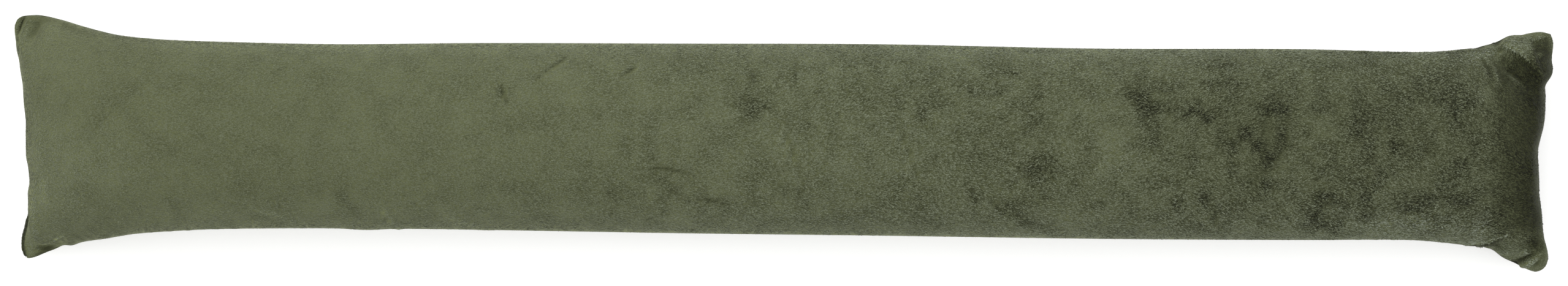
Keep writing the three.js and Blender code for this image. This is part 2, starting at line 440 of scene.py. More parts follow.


# Painted light and shade at the ears, and lighter or darker cloth elsewhere
# Each row: x, y, long, broad, turn, depth
SHADE_AND_COLOUR_PATCHES = [Patch(*row) for row in (
    (441.6, 58.9, 7.9, 4.7, -86, -0.72),
    (446.3, 59.7, 8.6, 3.2, -88, -0.55),
    (427.9, 61.7, 7.9, 3.6, -20, 0.34),
    (420.1, 53.4, 3.2, 2.2, 70, -0.36),
    (419.5, 42.6, 4.3, 2.5, 70, -0.28),
    (405.8, 56.4, 6.5, 3.6, 0, 0.3),
    (434.7, 31.6, 7.2, 5.0, -70, -0.2),
    (403.1, 33.5, 5.0, 3.6, 0, 0.3),
    (402.2, 52.1, 7.2, 3.6, -20, 0.14),
    (401.2, 42.1, 2.9, 2.5, 60, -0.26),
    (406.0, -45.4, 9.3, 5.4, 70, 0.2),
    (419.6, -45.3, 3.2, 2.9, 30, -0.16),
    (420.8, -51.0, 4.3, 2.2, 10, 0.4),
    (444.1, -56.5, 3.2, 2.9, 60, -0.24),
    (435.7, -69.5, 3.2, 1.8, 0, 0.1),
    (-427.1, 62.1, 5.7, 5.0, 0, 0.08),
    (-445.7, 59.8, 5.7, 1.8, 85, 0.1),
    (-430.5, -33.3, 3.2, 8.6, 0, 0.22),
    (-418.2, -41.8, 15.8, 12.2, 0, 0.1),
    (-412.7, -57.6, 5.7, 2.2, 20, -0.14),
    (-407.3, -59.7, 3.6, 2.2, 0, -0.16),
    (-419.2, -55.5, 2.2, 1.8, 0, -0.14),
    (-434.3, -6.1, 21.5, 4.3, 88, 0.08),
    (-409.9, 21.0, 10.8, 6.5, 30, -0.06),
    (198.3, -7.9, 21.5, 14.4, 0, 0.08),
    (-424.9, -15.0, 21.5, 21.5, 0, 0.17),
    (-390.8, -15.7, 21.5, 16.5, 0, 0.13),
    (361.9, -43.3, 28.7, 4.3, 0, 0.22),
)]

# Each row: x, y, long, broad, turn, depth
BRUISES = [Bruise(*row) for row in (
    (-390.1, 18.7, 12.2, 7.2, 60, 0.12),
    (-377.6, 28.5, 5.7, 5.0, 60, 0.1),
    (-403.8, -45.3, 15.8, 6.5, 0, 0.12),
    (-350.1, -35.8, 5.0, 3.2, -20, 0.16),
    (-334.0, -35.6, 6.5, 3.2, -10, 0.16),
    (-316.1, -33.0, 7.9, 5.0, 0, 0.12),
    (-255.1, -30.2, 8.6, 9.3, 90, 0.14),
    (-221.2, -19.9, 5.0, 3.6, 0, 0.12),
    (-141.1, 41.2, 5.0, 3.2, 10, 0.2),
    (-94.8, -27.3, 9.3, 3.9, -28, 0.24),
    (-68.7, -21.3, 12.2, 6.5, -10, 0.22),
    (-66.0, -38.5, 2.9, 5.7, 30, 0.2),
    (-45.3, -30.4, 10.8, 5.7, -10, 0.2),
    (-16.6, 38.1, 5.0, 3.6, -20, 0.4),
    (-17.9, 23.7, 12.2, 8.6, -60, 0.26),
    (-9.9, 20.2, 2.9, 5.7, 15, 0.3),
    (7.8, 40.4, 2.5, 4.3, 10, 0.34),
    (13.3, 23.3, 3.6, 11.5, 0, 0.18),
    (2.7, -29.2, 6.5, 4.7, -10, 0.4),
    (50.9, 36.2, 2.5, 7.9, 0, 0.26),
    (76.1, 22.1, 15.8, 12.2, 0, 0.12),
    (68.7, -28.2, 6.5, 4.3, 0, 0.36),
    (86.7, 36.2, 4.3, 5.0, 0, 0.3),
    (103.3, 33.5, 7.2, 2.9, 5, 0.32),
    (119.8, 32.5, 5.0, 2.5, 0, 0.28),
    (106.7, -26.8, 2.5, 6.5, 0, 0.3),
    (135.1, 40.9, 9.3, 4.3, -40, 0.36),
    (145.6, 28.8, 5.0, 3.2, -60, 0.2),
    (146.7, -4.1, 9.3, 28.7, 0, 0.17),
    (140.5, -35.0, 10.8, 5.7, -20, 0.24),
    (154.1, -29.2, 5.0, 4.3, 0, 0.24),
    (162.8, -42.0, 3.6, 3.6, 0, 0.26),
    (183.5, -33.2, 4.3, 2.9, -30, 0.24),
    (199.3, -34.5, 4.3, 5.7, 20, 0.22),
    (202.3, 29.4, 14.4, 7.9, -20, 0.36),
    (216.7, 25.9, 3.2, 7.9, 0, 0.5),
    (236.1, 21.8, 6.5, 5.0, 20, 0.5),
    (208.2, 10.1, 5.0, 4.3, 0, 0.22),
    (225.1, -31.4, 7.9, 3.2, 20, 0.26),
    (241.6, -28.3, 3.6, 7.9, 0, 0.28),
    (263.5, 9.9, 7.9, 10.8, 20, 0.38),
    (275.0, 0.7, 9.3, 27.3, -12, 0.42),
    (283.4, 23.7, 8.6, 5.7, -20, 0.24),
    (252.8, -1.0, 4.3, 10.8, -20, 0.24),
    (307.5, -20.5, 3.9, 6.5, -20, 0.4),
    (311.9, -34.1, 7.2, 3.9, 0, 0.56),
    (319.1, -29.4, 2.9, 2.9, 0, 0.34),
    (312.7, -43.4, 8.6, 4.7, 0, 0.36),
    (312.8, 24.4, 7.9, 5.0, 0, 0.2),
    (343.0, 12.8, 12.2, 7.9, -30, 0.3),
    (335.5, -25.6, 4.3, 8.6, 0, 0.24),
    (363.5, -30.0, 8.6, 4.7, 0, 0.18),
    (383.2, -27.7, 9.3, 3.2, 0, 0.16),
    (403.7, -26.8, 9.3, 4.7, 10, 0.2),
    (370.9, 27.4, 7.9, 5.7, 0, 0.28),
    (392.4, 27.6, 8.6, 4.7, 0, 0.28),
    (384.8, 1.7, 16.5, 15.8, 0, 0.14),
)]


# A height in metres that is well past the cushion, above or below it
OUTSIDE = 0.3
# How far a face's normal has to look up to count as the front
UPWARDS = 1e-4
# How near in metres the CAD mesh's vertices are when they are one
SAME_PLACE = 1e-6


@dataclass
class SeamOutline:
    """The line where the two panels meet, read from the CAD cushion as its four edges.

    Args:
        node: The CAD cushion.
        corner_weight: How much more Y counts than X in finding the four corners.
        end_reach: How far along the cushion an end seam's own line is felt, in metres.
    """

    node: bpy.types.Object
    corner_weight: float = 3.0
    end_reach: float = 0.105
    shell: BVHTree = field(init=False)
    near: Points = field(init=False)
    far: Points = field(init=False)
    left: Points = field(init=False)
    right: Points = field(init=False)

    def __post_init__(self) -> None:
        """Finds the seam as the loop where the faces turn from up to down."""
        mesh = bmesh.new()
        mesh.from_mesh(self.node.data)
        bmesh.ops.remove_doubles(mesh, verts=mesh.verts, dist=SAME_PLACE)
        mesh.normal_update()
        self.shell = BVHTree.FromBMesh(mesh)
        loop = self._loop(mesh)
        mesh.free()
        corners = {
            (x, y): int(np.argmax(loop[:, 0] * x + loop[:, 1] * y * self.corner_weight))
            for x in (-1, 1)
            for y in (-1, 1)
        }
        self.near = self._stretch(loop, corners[-1, -1], corners[1, -1])
        self.far = self._stretch(loop, corners[-1, 1], corners[1, 1])
        self.left = self._stretch(loop, corners[-1, -1], corners[-1, 1])
        self.right = self._stretch(loop, corners[1, -1], corners[1, 1])

    @staticmethod
    def _loop(mesh: bmesh.types.BMesh) -> Points:
        """Walks round the edges whose two faces look up and down."""
        beside: dict[Any, list[Any]] = {}
        for edge in mesh.edges:
            up = [face.normal.z > UPWARDS for face in edge.link_faces]
            if len(up) == 2 and up[0] != up[1]:
                first, second = edge.verts
                beside.setdefault(first, []).append(second)
                beside.setdefault(second, []).append(first)
        start = max(beside, key=lambda vert: vert.co.x)
        walked = [start]
        before, here = None, start
        while True:
            after = next(vert for vert in beside[here] if vert is not before)
            if after is start:
                return np.array([vert.co[:] for vert in walked])
            walked.append(after)
            before, here = here, after

    @staticmethod
    def _stretch(loop: Points, start: int, end: int) -> Points:
        """Cuts the shorter way round the loop from one corner to another."""
        count = len(loop)
        onwards = [(start + i) % count for i in range((end - start) % count + 1)]
        backwards = [(start - i) % count for i in range((start - end) % count + 1)]
        return loop[min(onwards, backwards, key=len)]

    def between(self, along: Numbers, across: Numbers) -> Points:
        """Spans the four edges with a smooth sheet at the height of the seam.

        Args:
            along: Shares of the length, 0 at the left end.
            across: Shares of the width, 0 at the near edge.

        Returns:
            The places on the sheet.
        """
        length = self.right[:, 0].mean() - self.left[:, 0].mean()
        rise = across[:, None]
        place = walk(self.near, along) * (1 - rise) + walk(self.far, along) * rise
        for edge, away, k in ((self.left, along, 0), (self.right, 1 - along, -1)):
            own = walk(edge, across) - (self.near[k] * (1 - rise) + self.far[k] * rise)
            pull = 1 - fade(away * length / self.end_reach)
            place = place + own * pull[:, None]
        return place

    def height(self, place: Points, panel: Panel) -> float:
        """The height of the CAD cushion's front or back at a place."""
        start = Vector((place[0], place[1], OUTSIDE * panel.value))
        hit = self.shell.ray_cast(start, Vector((0, 0, -panel.value)))[0]
        return place[2] if hit is None else hit.z


# How far into the panels the groove reaches, as a share of the strip between them
STRIP_SHARE = 0.6
# Where the gathers start, in metres from the seam
PUCKER_START = Ramp(0.0, 0.003)


@dataclass
class Cover:
    """The two plush panels, sewn together all round, turned and filled. Sizes are in metres.

    Args:
        outline: Where the seam runs.
        columns: Steps along the cushion before the last subdivision.
        rows: Steps across each panel.
        end_grading: How much closer the columns stand at the ends than on average.
        panel_length: The finished length of a panel laid flat.
        panel_width: Its finished width.
        right_slack: Extra cloth towards the right end, as a share of its length there.
        slack_from: Where along the cushion it starts, as a share.
        edge_allowance: How far past its length a panel's ends are taken to be, as a share.
        seam_height: The height of the strip between the two panels at the seam.
        deflation: How full the cover is before the filling goes in.
        pressure: The filling's pressure.
        weight: The mass of each of the cloth's points.
        stretch: The cloth's stiffness when pulled or pushed.
        bending: Its stiffness when bent.
        quality: How many steps of the cloth's own each frame has.
        steps: How many frames the filling takes.
        furthest: How far a point may move while the cover is filled.
        contact_softness: How gently the underside turns into its flat.
        groove: How deep the seam is drawn in.
        pucker: How deep the small gathers beside the seam are.
        pucker_reach: How far from the seam they fade out.
        pucker_waves: The fine, the drifting and the broad wave of the gathers, per metre.
        pucker_slant: How much the gathers slant across the panel.
        map_strips: How wide the map for the colours is, in panels.
        map_pitch: The distance between two strips on it, in panels.
        map_shift: How far the left halves are moved to lie over the right ones.
    """

    outline: SeamOutline
    columns: int = 176
    rows: int = 46
    end_grading: float = 0.55
    panel_length: float = 0.905
    panel_width: float = 0.1475
    right_slack: float = 0.03
    slack_from: float = 0.78
    edge_allowance: float = 0.0033
    seam_height: float = 0.002
    deflation: float = 0.95
    pressure: float = 4.0
    weight: float = 0.3
    stretch: float = 15.0
    bending: float = 0.5
    quality: int = 6
    steps: int = 20
    furthest: float = 0.012
    contact_softness: float = 0.0012
    groove: float = 0.0014
    pucker: float = 0.0005
    pucker_reach: float = 0.012
    pucker_waves: tuple[float, float, float] = (610.0, 97.0, 233.0)
    pucker_slant: float = 0.37
    map_strips: float = 4.2
    map_pitch: float = 1.04
    map_shift: float = 0.51
    piece: bpy.types.Object = field(init=False)

    def build(self) -> bpy.types.Object:
        """Makes the filled cover.

        Returns:
            The finished piece, with its cloth attribute and its map.
        """
        share_along, share_across, side = self._sew()
        self._fill(share_along, share_across, side)
        self._lay_down()
        self._refine()
        self._tug_outline()
        self._press_folds()
        self._draw_in_seam()
        self._map_cloth()
        return self.piece

    def _sew(self) -> tuple[Numbers, Numbers, Numbers]:
        """Lays a front and a back panel on each other, joined by a strip all round."""
        deselect_all()
        bpy.ops.mesh.primitive_grid_add(
            x_subdivisions=self.columns, y_subdivisions=self.rows, size=2.0
        )
        self.piece = bpy.context.object
        self.piece.name = "filled_cover"
        bpy.ops.object.mode_set(mode="EDIT")
        bpy.ops.mesh.select_all(action="SELECT")
        drop = {"value": (0, 0, -self.seam_height)}
        bpy.ops.mesh.extrude_region_move(TRANSFORM_OT_translate=drop)
        bpy.ops.mesh.select_all(action="SELECT")
        bpy.ops.mesh.normals_make_consistent(inside=False)
        bpy.ops.object.mode_set(mode="OBJECT")
        mesh = self.piece.data
        flat = read(mesh.vertices, "co", 3)
        column = np.rint((flat[:, 0] + 1) / 2 * self.columns).astype(int)
        row = np.rint((flat[:, 1] + 1) / 2 * self.rows).astype(int)
        side = np.where(flat[:, 2] > -self.seam_height / 2, 1.0, -1.0)
        even = np.arange(self.columns + 1) / self.columns
        graded = even - self.end_grading * np.sin(2 * np.pi * even) / (2 * np.pi)
        placed = np.zeros_like(flat)
        for panel in Panel:
            sheet = np.stack([self._section(share, panel) for share in graded])
            mine = side == panel.value
            placed[mine] = sheet[column[mine], row[mine]]
        move(mesh, placed)
        share_along, share_across = graded[column], row / self.rows
        cloth = self._cloth_places(share_along, share_across, side)
        store(mesh, "cloth", "FLOAT_VECTOR", np.c_[cloth[:, :2], side])
        return share_along, share_across, side

    def _section(self, share: float, panel: Panel) -> Points:
        """Places one column of a panel, its rows evenly spaced over the cushion's crown."""
        fine = np.linspace(0.0, 1.0, 3 * self.rows + 1)
        line = self.outline.between(np.full_like(fine, share), fine)
        if 0.0 < share < 1.0:
            for place in line[1:-1]:
                height = self.outline.height(place, panel)
                place[2] += (height - place[2]) * self.deflation
        even = walk(line, np.linspace(0.0, 1.0, self.rows + 1))
        even[:, 2] += panel.value * self.seam_height / 2
        return even

    def _cloth_places(self, along: Numbers, across: Numbers, side: Numbers) -> Points:
        """Where each point lies on its panel before sewing, in metres from the middle."""
        spare = self.right_slack * np.clip(along - self.slack_from, 0.0, None)
        return np.c_[
            (along - 0.5 + spare) * self.panel_length,
            (across - 0.5) * self.panel_width,
            side * self.seam_height / 2,
        ]

    def _fill(self, along: Numbers, across: Numbers, side: Numbers) -> None:
        """Fills the cover by Blender's cloth, its seam held where the outline has it."""
        piece = self.piece
        start = read(piece.data.vertices, "co", 3)
        piece.shape_key_add(name="Sewn")
        cut = piece.shape_key_add(name="Cut")
        flat = self._cloth_places(along, across, side)
        cut.data.foreach_set("co", flat.astype(np.float32).ravel())
        cut.value = 0.0
        seam = piece.vertex_groups.new(name="seam")
        rim = (along <= 0) | (along >= 1) | (across <= 0) | (across >= 1)
        seam.add([int(i) for i in np.flatnonzero(rim)], 1.0, "REPLACE")
        filling = piece.modifiers.new("Filling", "CLOTH")
        cloth = filling.settings
        cloth.quality = self.quality
        cloth.mass = self.weight
        cloth.tension_stiffness = self.stretch
        cloth.compression_stiffness = self.stretch
        cloth.shear_stiffness = self.stretch / 3
        cloth.bending_stiffness = self.bending
        cloth.use_pressure = True
        cloth.uniform_pressure_force = self.pressure
        cloth.effector_weights.gravity = 0.0
        cloth.vertex_group_mass = seam.name
        cloth.rest_shape_key = cut
        filling.collision_settings.use_collision = False
        filling.collision_settings.use_self_collision = False
        filling.point_cache.frame_start = 1
        filling.point_cache.frame_end = self.steps
        for step in range(1, self.steps + 1):
            bpy.context.scene.frame_set(step)
        drawn = piece.evaluated_get(bpy.context.evaluated_depsgraph_get())
        moved = read(drawn.data.vertices, "co", 3) - start
        distance = np.linalg.norm(moved, axis=1, keepdims=True)
        held = self.furthest * np.tanh(distance / self.furthest)
        filled = start + moved * held / np.maximum(distance, 1e-9)
        piece.modifiers.remove(filling)
        piece.shape_key_clear()
        piece.vertex_groups.remove(seam)
        move(piece.data, filled)
        log.info("filled: moved up to %.1f mm", float(distance.max()) / MM)

    def _lay_down(self) -> None:
        """Flattens the underside where it rests, and stands the cushion on the surface."""
        places = read(self.piece.data.vertices, "co", 3)
        height = places[:, 2]
        soft = self.contact_softness
        places[:, 2] = (height + np.sqrt(height**2 + 4 * soft**2)) / 2
        places[:, 2] -= places[:, 2].min()
        move(self.piece.data, places)

    def _refine(self) -> None:
        """Rounds the cloth with one subdivision and shades it smooth."""
        choose(self.piece)
        finer = self.piece.modifiers.new("Finer cloth", "SUBSURF")
        finer.levels = 1
        finer.render_levels = 1
        bpy.ops.object.modifier_apply(modifier=finer.name)
        bpy.ops.object.shade_smooth()

    def _tug_outline(self) -> None:
        """Pulls both panels a little where the outline bulges or draws in."""
        spots = Spots.of(self.piece.data)
        spots.places[:, :2] += sum(tug.pull(spots.plan) for tug in TUGS)
        move(self.piece.data, spots.places)

    def _press_folds(self) -> None:
        """Presses the folds into the front panel, each along the cloth's own normals."""
        spots = Spots.of(self.piece.data)
        lift = folded(spots.plan)[:, 0]
        move(self.piece.data, spots.places + spots.normals * (lift * spots.front)[:, None])

    def _draw_in_seam(self) -> None:
        """Draws the seam in as a groove and gathers the cloth beside it into puckers."""
        spots = Spots.of(self.piece.data)
        edge = self.edge_distance(spots.cloth)
        on_strip = np.exp(-((spots.cloth[:, 2] / STRIP_SHARE) ** 2)) * (edge < 2 * MM)
        run = spots.cloth[:, 0] + self.pucker_slant * spots.cloth[:, 1]
        fine, drift, broad = self.pucker_waves
        wave = np.sin(run * fine + 3 * np.sin(run * drift)) * np.sin(run * broad + 1.3)
        beside = fade(1 - edge / self.pucker_reach) * PUCKER_START.at(edge)
        inwards = self.groove * on_strip + self.pucker * wave * beside
        places = spots.places - spots.normals * inwards[:, None]
        places[:, 2] = np.maximum(places[:, 2], 0.0)
        move(self.piece.data, places)

    def side_distance(self, cloth: Points) -> Numbers:
        """How far places on a panel are from its nearest long edge, in metres."""
        return self.panel_width / 2 - np.abs(cloth[:, 1])

    def edge_distance(self, cloth: Points) -> Numbers:
        """How far places on a panel are from its nearest edge, in metres."""
        to_end = self.panel_length * (1 + self.edge_allowance) / 2 - np.abs(cloth[:, 0])
        return np.clip(np.minimum(to_end, self.side_distance(cloth)), 0.0, None)

    def _map_cloth(self) -> None:
        """Lays each half of each panel in a strip of its own on a map for its colours."""
        mesh = self.piece.data
        cloth = Spots.of(mesh).cloth
        beyond = (1 - np.abs(cloth[:, 2:])) * self.seam_height / 2
        spread = cloth[:, :2] + np.sign(cloth[:, :2]) * beyond
        corner = read(mesh.loops, "vertex_index", 1)[:, 0].astype(int)
        count = read(mesh.polygons, "loop_total", 1)[:, 0].astype(int)
        face = np.repeat(np.arange(len(count)), count)
        middle = np.stack(
            [np.bincount(face, cloth[corner, k]) / count for k in range(3)], -1
        )
        strip = (2 * (middle[:, 2] < 0) + (middle[:, 0] > 0))[face]
        across = spread[corner, 1] + self.panel_width * self.map_pitch * (0.5 + strip)
        along = spread[corner, 0] + self.panel_length * self.map_shift * (1 - strip % 2)
        lay_out(mesh, np.c_[along, across] / (self.map_strips * self.panel_width))


@dataclass(frozen=True)
class Clouds:
    """Soft random patches over the cloth, from a seeded lattice. Sizes are in metres.

    Args:
        seed: Where the random numbers start.
        cell: The distance between the lattice's points.
        span: How far the lattice reaches, along and across.
        panel_shift: How far each panel is moved over it, so that the two differ.
    """

    seed: int
    cell: float
    span: tuple[float, float] = (1.2, 0.8)
    panel_shift: float = 0.19

    def at(self, cloth: Points) -> Numbers:
        """Reads the patches.

        Args:
            cloth: Places on the panels, in metres, with the panel's sign last.

        Returns:
            A number from -1 to 1 at each place.
        """
        counts = np.array([int(reach / self.cell) + 3 for reach in self.span])
        lattice = np.random.default_rng(self.seed).uniform(-1, 1, counts)
        shifted = cloth[:, 1] - np.where(cloth[:, 2] < 0, -1, 1) * self.panel_shift
        grid = np.c_[cloth[:, 0], shifted] / self.cell + counts / 2
        grid = np.clip(grid, 0, counts - 1.001)
        low = grid.astype(int)
        high = np.minimum(low + 1, counts - 1)
        part = fade(grid - low)
        near = lattice[low[:, 0], low[:, 1]] * (1 - part[:, 0])
        near += lattice[high[:, 0], low[:, 1]] * part[:, 0]
        far = lattice[low[:, 0], high[:, 1]] * (1 - part[:, 0])
        far += lattice[high[:, 0], high[:, 1]] * part[:, 0]
        return near * (1 - part[:, 1]) + far * part[:, 1]


@dataclass(frozen=True)
class PaintedSheen:
    """A band of painted sheen, lighter beside a long seam: where it rises, and what the right third
    adds.
    """

    across: Ramp
    strength: float
    right: float = 0.0

    def at(self, across: Numbers, right: Numbers) -> Numbers:
        """How much lighter the pile is."""
        return (self.strength + self.right * right) * self.across.at(across)


# Where the nap, and the light and shade painted on it, change along the cushion and towards its far
# and near side, in metres
RIGHT_HALF = Ramp(-0.1, 0.5)
RIGHT_THIRD = Ramp(0.30, 0.07)
RIGHT_END = Ramp(0.36, 0.07)
PAST_LEFT_END = Ramp(-0.40, 0.06)
BETWEEN_EARS = Ramp(0.412, -0.012)
BELOW_FAR_EAR = Ramp(0.060, -0.011)
NEAR_EAR = Ramp(-0.042, -0.012)
COMBED_HEM = Ramp(0.006, -0.006)
SEAM_SHADE_BAND = Ramp(0.0048, -0.0048)
OVER_THE_SEAM = Ramp(0.0032, -0.002)

# The same in shares of the half width, from -1 at the near seam to 1 at the far one
FAR_BEND = Ramp(0.35, 0.5)
NEAR_BEND = Ramp(-0.45, -0.5)
END_BEND = Ramp(-0.7, 1.0)
CALM = Ramp(0.64, 0.32)
FAR_PAINTED_SHEENS = (PaintedSheen(Ramp(0.40, 0.4), 0.10), PaintedSheen(Ramp(0.70, 0.25), 0.38, 0.26))
NEAR_PAINTED_SHEENS = (PaintedSheen(Ramp(-0.46, -0.26), 0.13, 0.22), PaintedSheen(Ramp(-0.76, -0.24), 0.24))

# How bruises, clouds, wandering, the painted end shade on the ears and the near painted sheen are
# graded
BRUISE_BY_CLOUD = Graded(0.65, 0.8)
MOTTLE_BY_RUFFLE = Graded(0.25, 0.5)
WANDER_TO_RIGHT = Graded(0.5, 0.6)
FAR_EAR_SHADOW = Graded(0.35, 0.65)
NEAR_EAR_SHADOW = Graded(1.0, -0.6)
NEAR_SHEEN_TO_RIGHT = Graded(0.3, 0.7)
MOST_RUFFLED = 1.2

RUFFLE_ALONG = Profile((-0.45, -0.2, 0.0, 0.2, 0.45), (0.06, 0.12, 0.34, 0.52, 0.66))
TONE_ALONG = Profile(
    (-0.452, -0.43, -0.40, -0.3, -0.2, 0.0, 0.15, 0.3, 0.40, 0.446),
    (0.93, 0.89, 0.84, 0.83, 0.86, 0.98, 1.04, 1.03, 0.96, 0.94),
)
SPINE_ALONG = Profile((0.08, 0.17, 0.25, 0.31, 0.36, 0.42), (0.0, 0.10, 0.17, 0.17, 0.12, 0.1))
# Painted shade at the right end, by X in metres
END_SHADOW_ALONG = Profile(
    (0.404, 0.410, 0.4155, 0.421, 0.427, 0.4327, 0.4385, 0.446),
    (0.0, 0.20, 0.42, 0.51, 0.63, 0.74, 0.73, 0.68),
)


@dataclass
class Nap:
    """How the pile lies over the cushion: which way, how ruffled and how light, with light and shade
    painted on it.

    Args:
        cover: The filled cover, for its sizes.
        mottle: How strongly the broad, the middling and the small clouds ruffle the pile.
        stray: How far the bruises' edges wander, in metres.
        far_bend: How far the nap turns towards the far seam, in degrees.
        near_bend: The same towards the near seam, in the left half.
        end_bend: The same at the right end.
        wander: How far broad and small clouds turn it.
        combed: How much of the turning the hem beside a long seam takes away.
        wear: How light the pile is, by how ruffled it is.
        spine: The middle and the breadth of the darker line along the cushion.
        seam_shade: How much painted shade darkens it at a long seam, and how far the two seams
            differ.
        bruise: How much darker a bruise is.
        back: How light the back panel is beside the front.
        broad: The broad clouds.
        middling: The middling ones.
        small: The small ones, which also make the bruises uneven.
        turning: The broad clouds that turn the nap.
        swirling: The small ones that do.
    """

    cover: Cover
    mottle: tuple[float, float, float] = (0.18, 0.20, 0.30)
    stray: float = 0.007
    far_bend: float = -46.0
    near_bend: float = 34.0
    end_bend: float = -30.0
    wander: tuple[float, float] = (24.0, 16.0)
    combed: float = 0.92
    wear: Graded = Graded(1.06, -0.24)
    spine: tuple[float, float] = (0.12, 0.5)
    seam_shade: tuple[float, float] = (0.36, 0.24)
    bruise: float = 0.31
    back: float = 0.86
    broad: Clouds = Clouds(11, 0.062)
    middling: Clouds = Clouds(12, 0.021)
    small: Clouds = Clouds(13, 0.0075)
    turning: Clouds = Clouds(14, 0.034)
    swirling: Clouds = Clouds(15, 0.009)

    def _across(self, spots: Spots) -> Numbers:
        """Where the points lie between the seams, from -1, near, to 1, far."""
        return spots.cloth[:, 1] / self.cover.panel_width * 2

    def crushed(self, spots: Spots) -> Numbers:
        """How deep in the bruises each point of the front lies, their edges made uneven."""
        strays = np.stack([self.swirling.at(spots.cloth), self.small.at(spots.cloth)], -1)
        plan = spots.plan + strays * self.stray
        return sum(bruise.depth * bruise.closeness(plan) for bruise in BRUISES) * spots.front

    def ruffle(self, spots: Spots) -> Numbers:
        """How far the pile is disturbed, from 0, smooth, to about 1, crushed."""
        base = RUFFLE_ALONG.at(spots.x)
        small = self.small.at(spots.cloth)
        clouds = (self.broad.at(spots.cloth), self.middling.at(spots.cloth), small)
        mottle = sum(share * cloud for share, cloud in zip(self.mottle, clouds))
        patches = self.crushed(spots) * BRUISE_BY_CLOUD.at(small)
        ruffle = base + mottle * MOTTLE_BY_RUFFLE.at(base) + patches
        return np.clip(ruffle, 0.0, MOST_RUFFLED)

    def calm(self, spots: Spots) -> Numbers:
        """How far the pile is combed smooth beside the long seams, from 0 to 1."""
        return CALM.at(np.abs(self._across(spots)))

    def turn(self, spots: Spots) -> Numbers:
        """The nap's direction on the cloth, in radians from the cushion's length."""
        across = self._across(spots)
        rightness = RIGHT_HALF.at(spots.x)
        turn = self.far_bend * FAR_BEND.at(across)
        turn += self.near_bend * NEAR_BEND.at(across) * (1 - rightness)
        turn += self.end_bend * RIGHT_END.at(spots.x) * END_BEND.at(across)
        broad, small = self.wander
        wander = broad * self.turning.at(spots.cloth) + small * self.swirling.at(spots.cloth)
        turn += wander * WANDER_TO_RIGHT.at(rightness)
        hem = COMBED_HEM.at(self.cover.side_distance(spots.cloth))
        return np.radians(turn) * (1 - self.combed * hem)

    @staticmethod
    def _end_shadow(spots: Spots) -> Numbers:
        """How much painted shade darkens the right end, less on its ears, from 0 to 1."""
        y = spots.places[:, 1]
        ears = FAR_EAR_SHADOW.at(BELOW_FAR_EAR.at(y)) * NEAR_EAR_SHADOW.at(NEAR_EAR.at(y))
        return END_SHADOW_ALONG.at(spots.x) * ears

    def tone(self, spots: Spots, ruffle: Numbers) -> Numbers:
        """The cloth's lightness, 1 where it is the plain colour of the plush, with light and shade
        painted on.

        Args:
            spots: Where the lightness is wanted.
            ruffle: How ruffled the pile is there.

        Returns:
            A lightness for each point.
        """
        across = self._across(spots)
        right = RIGHT_THIRD.at(spots.x)
        away = PAST_LEFT_END.at(spots.x) * spots.front
        tone = TONE_ALONG.at(spots.x) * self.wear.at(ruffle)
        # Painted sheen beside the far and the near seam
        tone *= 1 + sum(gleam.at(across, right) for gleam in FAR_PAINTED_SHEENS) * away
        near = sum(gleam.at(across, right) for gleam in NEAR_PAINTED_SHEENS)
        tone *= 1 + near * NEAR_SHEEN_TO_RIGHT.at(away) * spots.front
        middle, breadth = self.spine
        spine = SPINE_ALONG.at(spots.x) * np.exp(-(((across - middle) / breadth) ** 2))
        tone *= 1 - spine * spots.front
        # Painted shade along the long seams between the ears, where the panels meet
        seam = SEAM_SHADE_BAND.at(self.cover.side_distance(spots.cloth)) * BETWEEN_EARS.at(abs(spots.x))
        tone *= 1 - (self.seam_shade[0] + self.seam_shade[1] * np.sign(across)) * seam
        edge = self.cover.edge_distance(spots.cloth)
        seen = np.maximum(spots.front, OVER_THE_SEAM.at(edge))
        tone *= 1 - self._end_shadow(spots) * seen
        tone *= 1 - self.bruise * self.crushed(spots)
        # Painted light and shade of the folds and the patches, on the front and just over the seam
        tone *= 1 + folded(spots.plan)[:, 1] * seen
        for patch in SHADE_AND_COLOUR_PATCHES:
            tone *= 1 + patch.depth * patch.closeness(spots.plan) * seen
        return tone * np.where(spots.cloth[:, 2] < 0, self.back, 1.0)


@dataclass(frozen=True)
class PlushFinish:
    """The colour and gloss of the plush.

    Args:
        colour: Its linear colour where the pile lies flat.
        root: How light the painted shade at the roots leaves smooth pile, as a share of the colour.
        ruffled_root: The same where it is ruffled.
        depth: How much less blue the pile is where it is darker.
        ground: The linear colour between the tufts.
        roughness: How matt it is.
        sheen: How strongly its edges catch the light.
        sheen_roughness: How broad that gleam is.
        gloss: The fibres' specular level.
        sheen_tint: The colour of that gleam.
        strokes: The length and breadth of the strokes between the tufts, in metres.
        grains: The same of the grains.
        clouds: The same of the soft patches.
        relief: How deep the strokes and grains are.
    """

    colour: tuple[float, float, float] = (0.1215, 0.1355, 0.0835)
    root: float = 0.90
    ruffled_root: float = 0.50
    depth: float = 0.36
    ground: tuple[float, float, float] = (0.1215, 0.1355, 0.060)
    roughness: float = 0.86
    sheen: float = 0.22
    sheen_roughness: float = 0.45
    gloss: float = 0.18
    sheen_tint: tuple[float, float, float, float] = (0.62, 0.66, 0.50, 1.0)
    strokes: tuple[float, float] = (0.0024, 0.0008)
    grains: tuple[float, float] = (0.0009, 0.0007)
    clouds: tuple[float, float] = (0.012, 0.009)
    relief: float = 0.0008

    def shader_values(self) -> dict[str, Any]:
        """What is the same all over the plush, set straight on the shader."""
        return {
            "Roughness": self.roughness,
            "Sheen Weight": self.sheen,
            "Sheen Roughness": self.sheen_roughness,
            "Sheen Tint": self.sheen_tint,
            "Specular IOR Level": self.gloss,
        }

    def root_painted_shade(self, rough: Numbers) -> Numbers:
        """How light the painted shade leaves the roots, by how ruffled the pile is."""
        deep = np.clip(rough, 0, 1)
        return self.root * (1 - deep) + self.ruffled_root * deep

    def shades(self, lights: Numbers) -> Points:
        """The colour of the pile at each lightness, with an alpha of 1."""
        held = np.clip(lights.reshape(-1, 1), 0.02, 2.5)
        shades = held * np.array([*self.colour, 1.0])
        shades[:, 2] *= held[:, 0] ** self.depth
        shades[:, 3] = 1.0
        return shades


